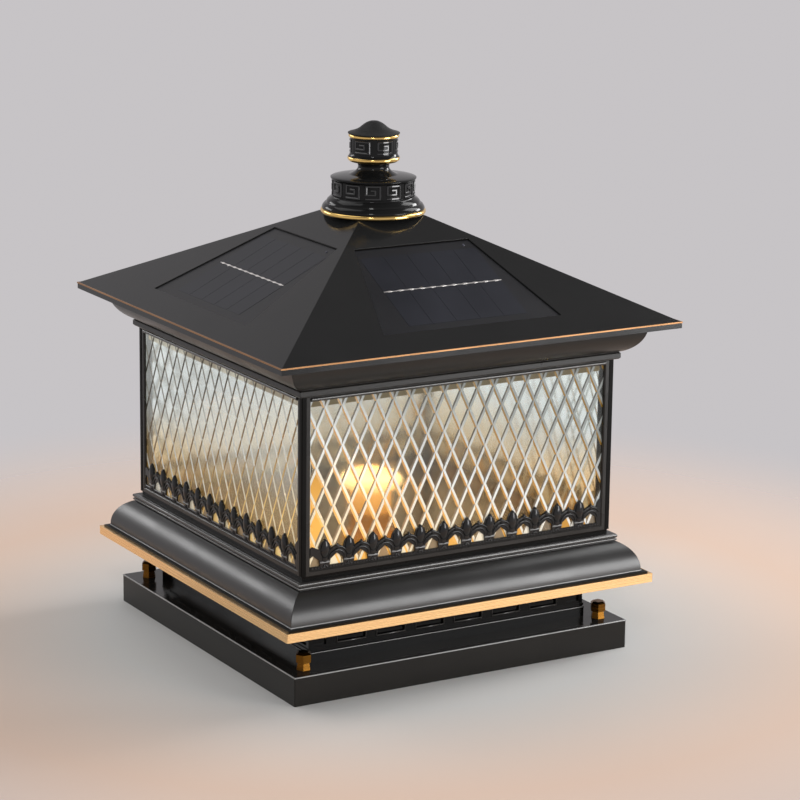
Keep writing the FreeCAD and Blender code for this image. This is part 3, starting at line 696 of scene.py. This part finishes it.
def onSlope(fromAxis):
    # matrix at a distance from the axis: x across, y up the slope, z out of the panel
    high = slope["eaveHigh"] + (slope["eaveHalf"] - fromAxis) * math.tan(slopeAngle)
    place = Vector((0.0, -fromAxis, high)) - offSlope * slope["sunk"]
    turn = Matrix((Vector((1, 0, 0)), upSlope, offSlope)).transposed().to_4x4()
    return Matrix.Translation(place) @ turn


def makeCells():
    bm = bmesh.new()
    wide = 2.0 * cells["half"] / cells["columns"]
    for near, far in ((cells["nearAxis"], cells["ribbonAt"]), (cells["ribbonAt"], cells["farAxis"])):
        deep = (far - near) / math.cos(slopeAngle) - cells["gap"]
        for column in range(cells["columns"]):
            across = -cells["half"] + wide * (column + 0.5)
            place = onSlope((near + far) / 2.0) @ Matrix.Translation((across, 0.0, cells["thick"] / 2.0))
            addBox(bm, place, (wide - cells["gap"], deep, cells["thick"]))
    return bm


def makeRibbon():
    # a flat strip with a small solder lump at every joint
    bm = bmesh.new()
    addBox(bm, Matrix.Translation((0.0, 0.0, ribbon["thick"] / 2.0)),
           (2.0 * cells["half"], ribbon["wide"], ribbon["thick"]))
    for joint in range(ribbon["joints"]):
        across = cells["half"] * (2.0 * (joint + 0.5) / ribbon["joints"] - 1.0)
        lump = bmesh.ops.create_icosphere(bm, subdivisions=2, radius=0.5)["verts"]
        bmesh.ops.scale(bm, vec=ribbon["lump"], verts=lump)
        bmesh.ops.translate(bm, vec=(across, 0.0, ribbon["thick"]), verts=lump)
    bmesh.ops.transform(bm, matrix=onSlope(cells["ribbonAt"]), verts=bm.verts[:])
    return bm


def makeSensor():
    bm = bmesh.new()
    bmesh.ops.create_cone(bm, cap_ends=True, segments=sensor["sides"], radius1=sensor["radius"],
                          radius2=sensor["taper"] * sensor["radius"], depth=sensor["thick"])
    bmesh.ops.translate(bm, vec=(sensor["across"], 0.0, sensor["thick"] / 2.0), verts=bm.verts[:])
    bmesh.ops.transform(bm, matrix=onSlope(sensor["fromAxis"]), verts=bm.verts[:])
    return bm


def makeShadowLine():
    # a painted shadow: a dark line along the upper end of the panel
    bm = bmesh.new()
    addBox(bm, onSlope(shadowLine["fromAxis"]) @ Matrix.Translation((0.0, 0.0, shadowLine["thick"] / 2.0)),
           (2.0 * shadowLine["half"], shadowLine["deep"], shadowLine["thick"]))
    return bm


panelPieces = [("solarCells_", makeCells, "cellSilicon", "solar_cell"),
               ("panelShadowLine_", makeShadowLine, "postCoat", "roof_metal"),
               ("cellRibbon_", makeRibbon, "tinRibbon", "solar_cell"),
               ("lightSensor_", makeSensor, "sensorLens", "solar_cell")]
for prefix, maker, finish, slotName in panelPieces:
    for side, bm in turnedCopies(maker()):
        keepPiece(bm, prefix + side, finishes[finish])
print("solar cells and ribbons on", len(sides), "panels")


# pierced cresting: the CAD strip with softened edges, and buds, leaves, arches and beads in relief

crest = {"firstBud": -100.8 * mm, "pitch": 17.72 * mm, "edge": 0.22 * mm, "sharpDeg": 40.0,
         "budMid": 13.4 * mm, "budSize": (3.4 * mm, 1.7 * mm, 6.7 * mm), "budPoint": 0.42,
         "stemMid": 7.2 * mm, "stemSize": (2.2 * mm, 0.8 * mm, 3.6 * mm),
         "leafHigh": 3.0 * mm, "leafLow": 0.7 * mm, "leafOut": 2.6 * mm, "leafWide": 0.7 * mm,
         "leafThick": 1.0 * mm, "leafEdge": 0.14 * mm, "ovalSides": (12, 8),
         "tipMid": 14.3 * mm, "tipSize": (1.6 * mm, 1.2 * mm, 2.2 * mm), "tipPoint": 0.6,
         "railMid": 4.6 * mm, "railLong": 7.4 * mm, "railRadius": 0.6 * mm, "archMid": 5.6 * mm,
         "rim": 0.75 * mm, "rimSides": 8, "archSteps": 12,
         "beadPitch": 2.215 * mm, "bead": 0.95 * mm, "beadIn": 0.2 * mm, "beadHigh": 1.1 * mm}
arches = [{"radius": 5.9 * mm, "start": 8.0}, {"radius": 8.3 * mm, "start": 34.0}]


def addOval(bm, centre, size, point=0.0):
    # an oval whose upper half may draw in to a point
    around, upward = crest["ovalSides"]
    oval = bmesh.ops.create_uvsphere(bm, u_segments=around, v_segments=upward, radius=1.0)["verts"]
    for vert in oval:
        if vert.co.z > 0.0:
            vert.co.x *= 1.0 - point * vert.co.z
    bmesh.ops.scale(bm, vec=size, verts=oval)
    bmesh.ops.translate(bm, vec=centre, verts=oval)


def addLeaf(bm, start, end, out):
    # a bevelled bar from point to point in the plane of the strip
    wide = crest["leafWide"]
    run = math.hypot(end[0] - start[0], end[1] - start[1])
    lean = math.atan2(end[1] - start[1], end[0] - start[0])
    middle = Vector(((start[0] + end[0]) / 2.0, out, (start[1] + end[1]) / 2.0))
    place = Matrix.Translation(middle) @ Matrix.Rotation(-lean, 4, "Y")
    addBox(bm, place, (run + wide, crest["leafThick"], wide), crest["leafEdge"])


def softenedStrip():
    bm = bmesh.new()
    bm.from_mesh(nodes["cresting_front"].data)
    bmesh.ops.remove_doubles(bm, verts=bm.verts[:], dist=weldGap)
    corner = math.radians(crest["sharpDeg"])
    sharp = [edge for edge in bm.edges if edge.is_manifold and edge.calc_face_angle() > corner]
    bevelEdges(bm, sharp, crest["edge"], True)
    return bm


def addArch(bm, centre, arch):
    # a round bar bent over the window, from one side to the other
    turn = math.radians(180.0 - 2.0 * arch["start"])
    lean = Matrix.Rotation(math.radians(-arch["start"]), 4, "Y")
    start = Matrix.Translation(centre) @ (lean @ Matrix.Translation((arch["radius"], 0.0, 0.0)))
    ring = bmesh.ops.create_circle(bm, segments=crest["rimSides"], radius=crest["rim"], matrix=start)["verts"]
    edges = list({edge for vert in ring for edge in vert.link_edges})
    bmesh.ops.spin(bm, geom=ring + edges, cent=centre, axis=(0, -1, 0), dvec=(0, 0, 0), angle=turn,
                   steps=crest["archSteps"])


def budMiddles(first, end):
    count = int((end - crest["firstBud"]) / crest["pitch"]) + 1
    return [crest["firstBud"] + bud * crest["pitch"] for bud in range(first, count)]


def makeCresting():
    low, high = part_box("cresting_front")
    face = low.y
    foot = low.z
    relief = bmesh.new()
    for middle in budMiddles(-1, high.x):  # from one bud before the first, for the window beside it
        window = middle + crest["pitch"] / 2.0
        if low.x + crest["budSize"][0] < middle < high.x - crest["budSize"][0]:
            addOval(relief, (middle, face, foot + crest["budMid"]), crest["budSize"], crest["budPoint"])
            addOval(relief, (middle, face, foot + crest["stemMid"]), crest["stemSize"])
            for hand in (-1.0, 1.0):
                leafEnd = (middle + hand * crest["leafOut"], foot + crest["leafLow"])
                addLeaf(relief, (middle, foot + crest["leafHigh"]), leafEnd, face)
        if low.x + arches[0]["radius"] < window < high.x - arches[0]["radius"]:
            for arch in arches:
                addArch(relief, Vector((window, face, foot + crest["archMid"])), arch)
            addOval(relief, (window, face, foot + crest["tipMid"]), crest["tipSize"], crest["tipPoint"])
    for bead in range(int((high.x - low.x) / crest["beadPitch"])):
        across = low.x + crest["beadPitch"] * (bead + 0.5)
        ball = bmesh.ops.create_icosphere(relief, subdivisions=1, radius=crest["bead"])["verts"]
        spot = (across, face + crest["beadIn"], foot + crest["beadHigh"])
        bmesh.ops.translate(relief, vec=spot, verts=ball)
    bmesh.ops.recalc_face_normals(relief, faces=relief.faces[:])
    for reliefFace in relief.faces:
        reliefFace.smooth = True
    strip = softenedStrip()
    mesh = bpy.data.meshes.new("crestRelief")
    relief.to_mesh(mesh)
    relief.free()
    strip.from_mesh(mesh)
    bpy.data.meshes.remove(mesh)
    return strip


def makeRails():
    # a short pale rail across the foot of each bud, its paleness a painted highlight
    low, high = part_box("cresting_front")
    bm = bmesh.new()
    for middle in budMiddles(0, high.x):
        addRod(bm, (middle, low.y, low.z + crest["railMid"]), "Y", crest["railLong"], crest["railRadius"])
    return bm


for side, bm in turnedCopies(makeRails()):
    keepPiece(bm, "crestRails_" + side, finishes["edgeLine"], True)
for side, bm in turnedCopies(makeCresting()):
    piece = keepPiece(bm, "castCresting_" + side, finishes["crestGloss"], None)
    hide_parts("cresting_" + side)
print("cresting:", len(piece.data.polygons), "faces each")


# turned finial with its stud, crown rings, gold foot ring and Greek key bands, radius and height in mm

finialStud = [(0.0, 190.2), (4.0, 190.2), (4.0, 293.2), (34.3, 293.2)]
finialBell = [(34.7, 293.7), (34.5, 294.6), (33.7, 296.0), (32.5, 297.1), (31.9, 297.3), (31.7, 297.8),
              (31.2, 298.9), (30.0, 300.2), (28.9, 301.0), (28.4, 301.6), (28.3, 302.2), (27.6, 302.5)]
finialDisc = [(27.6, 312.5), (27.9, 313.1), (28.6, 313.4), (28.9, 313.8), (28.9, 314.2), (28.4, 314.7),
              (24.0, 315.5), (19.5, 316.0), (15.8, 316.3)]
finialNeck = [(15.2, 316.7), (13.4, 317.6), (11.8, 318.8), (10.9, 320.0), (10.5, 321.2), (10.6, 322.4),
              (11.2, 323.6), (12.4, 324.8), (13.0, 325.4), (16.8, 327.8)]
finialCrown = [(17.3, 328.2), (16.9, 328.7), (16.3, 329.7), (16.0, 331.0), (15.9, 335.0), (15.9, 340.4),
               (16.1, 341.2), (16.2, 343.3)]
finialCap = [(17.3, 343.6), (17.5, 344.0), (17.1, 344.4), (14.6, 345.1), (11.8, 346.2), (9.9, 347.3),
             (8.4, 348.5), (6.9, 349.7), (5.2, 350.8), (3.2, 351.7), (1.4, 352.05), (0.0, 352.1)]
crownRings = [
    [(12.6, 324.7), (14.6, 324.6), (16.3, 325.1), (17.3, 325.9), (17.7, 327.0), (17.5, 328.0), (16.9, 328.5),
     (15.5, 328.5), (12.6, 324.7)],
    [(15.8, 341.3), (16.6, 341.3), (17.0, 341.7), (17.1, 342.3), (17.0, 343.0), (16.6, 343.4), (15.8, 343.4),
     (15.8, 341.3)],
]
footRing = [(5.0, 290.2), (34.6, 290.2), (35.2, 290.5), (35.5, 291.2), (35.5, 292.0), (35.2, 292.8),
            (34.6, 293.2), (5.0, 293.2), (5.0, 290.2)]
finialLook = {"steps": 96, "footSteps": 128, "sharpDeg": 42.0, "ringSharpDeg": 60.0, "underside": -0.5}
keyPath = [(0.0, 0.0), (1.0, 0.0), (1.0, 1.0), (0.0, 1.0), (0.0, 0.33), (0.66, 0.33), (0.66, 0.68),
           (0.36, 0.68)]
keyLook = {"edge": 0.25, "longEdge": 2.0, "cuts": 5}
keyBands = [
    {"radius": 27.5, "low": 303.4, "high": 311.8, "count": 12, "wide": 9.4, "line": 1.3, "relief": 1.4},
    {"radius": 15.8, "low": 331.8, "high": 339.4, "count": 6, "wide": 10.4, "line": 1.25, "relief": 1.2},
]


def scaled(points):
    return [(r * mm, z * mm) for r, z in points]


def smoothed(points):
    # one more point between each pair, on a curve through the neighbours
    dense = []
    for place in range(len(points) - 1):
        before = Vector(points[max(place - 1, 0)])
        start = Vector(points[place])
        end = Vector(points[place + 1])
        after = Vector(points[min(place + 2, len(points) - 1)])
        dense.append(points[place])
        dense.append(tuple((start + end) * 9.0 / 16.0 - (before + after) / 16.0))
    return dense + [points[-1]]


def makeKeys(band):
    # bars of the key drawn flat, then bent round the drum
    bm = bmesh.new()
    tall = band["high"] - band["low"]
    corners = [((u - 0.5) * band["wide"], band["low"] + v * tall) for u, v in keyPath]
    for start, end in zip(corners, corners[1:]):
        middle = Matrix.Translation(((start[0] + end[0]) / 2.0, 0.0, (start[1] + end[1]) / 2.0))
        size = (abs(end[0] - start[0]) + band["line"], band["relief"], abs(end[1] - start[1]) + band["line"])
        addBox(bm, middle, size, keyLook["edge"])
    longEdges = [edge for edge in bm.edges
                 if abs(edge.verts[0].co.x - edge.verts[1].co.x) > keyLook["longEdge"]]
    bmesh.ops.subdivide_edges(bm, edges=longEdges, cuts=keyLook["cuts"], use_grid_fill=True)
    for vert in bm.verts:
        angle = vert.co.x / band["radius"] - math.pi / 2.0
        radius = band["radius"] - vert.co.y
        vert.co = Vector((radius * math.cos(angle), radius * math.sin(angle), vert.co.z)) * mm
    single = bm.verts[:] + bm.edges[:] + bm.faces[:]
    for turn in range(1, band["count"]):
        copy = bmesh.ops.duplicate(bm, geom=single)["geom"]
        around = Matrix.Rotation(math.tau * turn / band["count"], 3, "Z")
        bmesh.ops.rotate(bm, cent=(0, 0, 0), matrix=around,
                         verts=[item for item in copy if isinstance(item, bmesh.types.BMVert)])
    bmesh.ops.recalc_face_normals(bm, faces=bm.faces[:])
    return bm


profile = finialStud + smoothed(finialBell) + smoothed(finialDisc) + smoothed(finialNeck) + finialCrown
profile += smoothed(finialCap)
bm = spinProfile(scaled(profile), finialLook["steps"])
piece = keepPiece(bm, "finialCasting", finishes["castGloss"], True)
softShade(piece, finialLook["sharpDeg"])
piece.data.materials.append(finishes["capSatin"])
for face in piece.data.polygons:
    if face.center.z / mm > finialCap[0][1]:
        face.material_index = 1
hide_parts("finial")
for number, outline in enumerate(crownRings):
    bm = spinProfile(scaled(outline), finialLook["steps"])
    piece = keepPiece(bm, "crownRing_" + str(number), finishes["goldRing"], True)
    softShade(piece, finialLook["ringSharpDeg"])
bm = spinProfile(scaled(footRing), finialLook["footSteps"])
piece = keepPiece(bm, "footRing", finishes["goldRing"], True)
softShade(piece, finialLook["ringSharpDeg"])
piece.data.materials.append(finishes["castGloss"])
for face in piece.data.polygons:
    if face.normal.z < finialLook["underside"]:  # black underneath
        face.material_index = 1
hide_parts("finial_base_ring")
for number, band in enumerate(keyBands):
    keepPiece(makeKeys(band), "keyBand_" + str(number), finishes["keyGloss"])
print("finial turned")


# camera, at the photograph's viewing angle

shot = {"unit": 0.12778, "azimuth": -30.5415, "elevation": 13.7663, "roll": 0.7146, "distance": 16.0037,
        "right": 0.157, "up": 0.2439, "aimHeight": 1.0, "lens": 134.19, "sensor": 36.0}


def makeCamera():
    azimuth = math.radians(shot["azimuth"])
    elevation = math.radians(shot["elevation"])
    roll = math.radians(shot["roll"])
    back = Vector((math.sin(azimuth) * math.cos(elevation), -math.cos(azimuth) * math.cos(elevation),
                   math.sin(elevation)))
    right = Vector((math.cos(azimuth), math.sin(azimuth), 0.0))
    up = back.cross(right)
    right, up = (right * math.cos(roll) + up * math.sin(roll), up * math.cos(roll) - right * math.sin(roll))
    eye = Vector((0.0, 0.0, shot["aimHeight"])) + right * shot["right"] + up * shot["up"]
    eye += back * shot["distance"]
    data = bpy.data.cameras.new("shotCamera")
    data.lens = shot["lens"]
    data.sensor_width = shot["sensor"]
    camera = bpy.data.objects.new("shotCamera", data)
    turn = Matrix((right, up, back)).transposed().to_4x4()
    camera.matrix_world = Matrix.Translation(eye * shot["unit"]) @ turn
    scene.collection.objects.link(camera)
    scene.camera = camera


makeCamera()
print("camera in place")


# pale floor that fades into the grey background, greyer near the lantern and peach farther out as painted
# warm light, and soft studio light

studio = {"floorSize": 3.0, "floorSides": 96, "floorRough": 0.7,
          "floorNear": (0.18, (0.67, 0.665, 0.655, 1)), "floorFarWarmLight": (0.33, (0.76, 0.55, 0.43, 1)),
          "fade": (0.26, 0.62), "background": (0.57, 0.55, 0.565, 1), "shade": (0.3, 0.78), "overhead": 0.32,
          "sky": (1.0, 0.99, 0.98, 1), "climb": (0.1, 0.75), "horizon": 1.1, "zenith": 0.18,
          "sink": (-0.15, 0.02), "beyondFloor": 0.25}
softBoxes = [
    {"name": "backBox", "place": (-0.6, 0.8, 1.9), "aimHigh": 0.1, "size": (1.3, 1.3), "power": 9.0},
    {"name": "sideBox", "place": (1.7, -0.1, 1.5), "aimHigh": 0.1, "size": (1.0, 1.0), "power": 18.0},
    {"name": "sparkBox", "place": (-0.9, -1.3, 1.3), "aimHigh": 0.15, "size": (0.25, 0.25), "power": 3.0},
    {"name": "edgeBox", "place": (2.0, 0.1, 0.75), "aimHigh": 0.12, "size": (0.55, 0.55), "power": 16.0},
    {"name": "rightBox", "place": (1.1, -1.6, 0.3), "aimHigh": 0.1, "size": (0.9, 0.86), "power": 20.0},
    {"name": "leftBox", "place": (-0.85, 1.6, 0.75), "aimHigh": 0.1, "size": (0.9, 0.35), "power": 5.0},
]


def makeFloor():
    bm = bmesh.new()
    bmesh.ops.create_circle(bm, cap_ends=True, segments=studio["floorSides"],
                            radius=studio["floorSize"] / 2.0)
    mesh = bpy.data.meshes.new("studioFloor")
    bm.to_mesh(mesh)
    bm.free()
    floor = bpy.data.objects.new("studioFloor", mesh)
    scene.collection.objects.link(floor)
    material, tree, shader = startMaterial("studioFloor", {"Roughness": studio["floorRough"]})
    length = addNode(tree, "ShaderNodeVectorMath", operation="LENGTH")
    tree.links.new(objectPlace(tree), length.inputs[0])
    distance = length.outputs["Value"]
    fade = mapRange(tree, distance, studio["fade"], (1.0, 0.0), "SMOOTHSTEP")
    below = addNode(tree, "ShaderNodeNewGeometry").outputs["Backfacing"]
    seen = addMath(tree, "SUBTRACT", fade, below, clamp=True)  # clear from below, so the underside shows
    tree.links.new(seen, shader.inputs["Alpha"])
    # painted warm light: the floor turns peach away from the lantern
    colour = colourRamp(tree, distance, [studio["floorNear"], studio["floorFarWarmLight"]])
    tree.links.new(colour, shader.inputs["Base Color"])
    mesh.materials.append(material)


def makeWorld():
    # the grey backdrop is what is seen, straight or in gloss and glass, and the sky is what lights
    world = bpy.data.worlds.new("studioWorld")
    scene.world = world
    world.use_nodes = True
    tree = world.node_tree
    sky = tree.nodes["Background"]
    sky.inputs["Color"].default_value = studio["sky"]
    seen = addNode(tree, "ShaderNodeBackground")
    seen.inputs["Color"].default_value = studio["background"]
    high = splitVector(tree, addNode(tree, "ShaderNodeTexCoord").outputs["Generated"])["Z"]
    shade = mapRange(tree, high, studio["shade"], (1.0, studio["overhead"]), "SMOOTHSTEP")
    tree.links.new(shade, seen.inputs["Strength"])
    climb = mapRange(tree, high, studio["climb"], (studio["horizon"], studio["zenith"]), "SMOOTHSTEP")
    below = mapRange(tree, high, studio["sink"], (studio["beyondFloor"], 1.0))
    tree.links.new(addMath(tree, "MULTIPLY", climb, below), sky.inputs["Strength"])
    path = addNode(tree, "ShaderNodeLightPath")
    direct = path.outputs["Is Camera Ray"]
    for ray in ("Is Glossy Ray", "Is Transmission Ray"):
        direct = addMath(tree, "MAXIMUM", direct, path.outputs[ray])
    mix = addNode(tree, "ShaderNodeMixShader")
    tree.links.new(direct, mix.inputs["Fac"])
    tree.links.new(sky.outputs["Background"], mix.inputs[1])
    tree.links.new(seen.outputs["Background"], mix.inputs[2])
    tree.links.new(mix.outputs["Shader"], tree.nodes["World Output"].inputs["Surface"])


def makeSoftBox(box):
    data = bpy.data.lights.new(box["name"], "AREA")
    data.shape = "RECTANGLE"
    data.size, data.size_y = box["size"]
    data.energy = box["power"]
    lamp = bpy.data.objects.new(box["name"], data)
    lamp.location = box["place"]
    toward = Vector((0.0, 0.0, box["aimHigh"])) - Vector(box["place"])
    lamp.rotation_euler = toward.to_track_quat("-Z", "Y").to_euler()
    scene.collection.objects.link(lamp)


# the lamp's own light, and one in the closed base that lets the underside be looked at
lampLights = [
    {"name": "lampLight", "place": (0.0, 0.0, 0.135), "radius": 0.012, "power": 0.3,
     "colour": (1.0, 0.6, 0.25)},
    {"name": "trayLight", "place": (0.07, -0.095, 0.02), "radius": 0.01, "power": 0.8,
     "colour": (1.0, 1.0, 1.0)},
]


def makeLampLight(look):
    data = bpy.data.lights.new(look["name"], "POINT")
    data.energy = look["power"]
    data.color = look["colour"]
    data.shadow_soft_size = look["radius"]
    lamp = bpy.data.objects.new(look["name"], data)
    lamp.location = look["place"]
    lamp.visible_camera = lamp.visible_glossy = lamp.visible_transmission = False
    scene.collection.objects.link(lamp)


makeFloor()
makeWorld()
for look in lampLights:
    makeLampLight(look)
for box in softBoxes:
    makeSoftBox(box)
print("studio ready")
